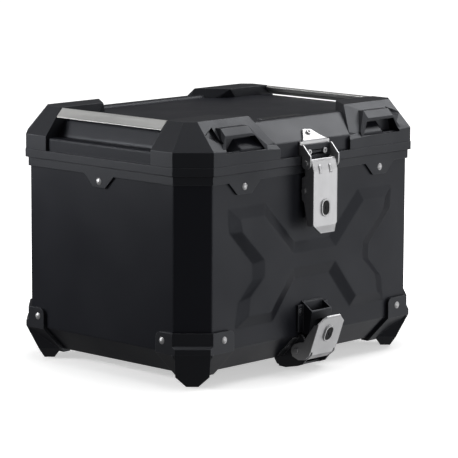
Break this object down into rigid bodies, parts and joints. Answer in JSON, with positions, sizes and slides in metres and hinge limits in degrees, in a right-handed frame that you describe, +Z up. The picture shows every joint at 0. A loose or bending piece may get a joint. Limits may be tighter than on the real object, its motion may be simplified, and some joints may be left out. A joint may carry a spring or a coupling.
{
  "type": "motorcycle top case",
  "caption": "Hard motorcycle top case: folded sheet body with embossed front, hinged lid with corner caps and side bars, locking front lever, and a second latch at the floor for its carrier.",
  "frame": {"origin": "centre of the four carrier bolt holes, on the outer face of the floor; the feet reach below it", "axes": "+X to the case's right seen from the latch side, -Y out of the latch face, +Y towards the hinges, +Z up"},
  "size_m": [0.4104, 0.3503, 0.304],
  "materials": {
    "sheet": "fine satin powder coat, anthracite black",
    "plastic": "finely grained moulded plastic, black",
    "steel": "brushed stainless",
    "bar": "satin anodised",
    "dark_steel": "dark coated steel",
    "rivets": "plain",
    "backing": "mill",
    "rubber": "matt",
    "lock_plastic": "matt",
    "lock_steel": "turned, darkened",
    "badge": "smooth, plain"
  },
  "bodies": {
    "case": {"case_shell": "sheet", "floor_plate": "backing", "rim_frame": "plastic", "frame_rivets": "rivets", "corner_protector_fl": "plastic", "corner_protector_fr": "plastic", "corner_protector_rl": "plastic", "corner_protector_rr": "plastic", "protector_rivets": "rivets", "carrier_hook_left": "steel", "carrier_hook_right": "steel", "hook_rivets": "rivets", "catch_plate": "plastic", "catch_rivets": "rivets", "lower_housing": "plastic", "lower_bracket": "dark_steel", "lower_pivot_pin": "steel", "lower_latch_rivets": "dark_steel", "hinge_base_left": "dark_steel", "hinge_base_right": "dark_steel", "hinge_pin_left": "steel", "hinge_pin_right": "steel", "hinge_base_rivets": "rivets"},
    "lid": {"lid_shell": "sheet", "lid_rim": "plastic", "lid_seal": "rubber", "lid_cap_fl": "plastic", "lid_cap_fr": "plastic", "lid_cap_rl": "plastic", "lid_cap_rr": "plastic", "side_bar_left": "bar", "side_bar_right": "bar", "lid_badge": "badge", "latch_bracket": "steel", "latch_block": "plastic", "latch_screws": "steel", "latch_pivot_pin": "steel", "hinge_leaf_left": "dark_steel", "hinge_leaf_right": "dark_steel", "hinge_leaf_rivets": "rivets"},
    "latch_lever": {"latch_lever": "steel", "claw_pin": "steel", "upper_lock_body": "lock_plastic"},
    "upper_lock_plug": {"upper_lock_plug": "lock_steel"},
    "latch_claw": {"latch_claw": "dark_steel"},
    "lower_lever": {"lower_lever": "steel", "lower_lock_body": "lock_plastic"},
    "lower_lock_plug": {"lower_lock_plug": "lock_steel"}
  },
  "joints": [
    {"name": "lid_hinge", "type": "hinge", "parent": "case", "child": "lid", "pos_m": [0, 0.16, 0.2321], "axis": [-1, 0, 0], "range_deg": [0, 95]},
    {"name": "latch_lever_pivot", "type": "hinge", "parent": "lid", "child": "latch_lever", "pos_m": [0, -0.1618, 0.2343], "axis": [-1, 0, 0], "range_deg": [0, 110]},
    {"name": "latch_claw_pivot", "type": "hinge", "parent": "latch_lever", "child": "latch_claw", "pos_m": [0, -0.155, 0.201], "axis": [1, 0, 0], "range_deg": [0, 66]},
    {"name": "upper_lock_turn", "type": "hinge", "parent": "latch_lever", "child": "upper_lock_plug", "pos_m": [0, -0.17, 0.181], "axis": [0, -1, 0], "range_deg": [0, 90]},
    {"name": "lower_lever_pivot", "type": "hinge", "parent": "case", "child": "lower_lever", "pos_m": [0, -0.147, 0.0105], "axis": [1, 0, 0], "range_deg": [-17.4, 45]},
    {"name": "lower_lock_turn", "type": "hinge", "parent": "lower_lever", "child": "lower_lock_plug", "pos_m": [0, -0.17647, 0.03298], "axis": [0, -0.9397, -0.342], "range_deg": [0, 90]}
  ],
  "couplings": [
    {"joint": "latch_claw_pivot", "follows": "latch_lever_pivot", "ratio": 0.6}
  ]
}
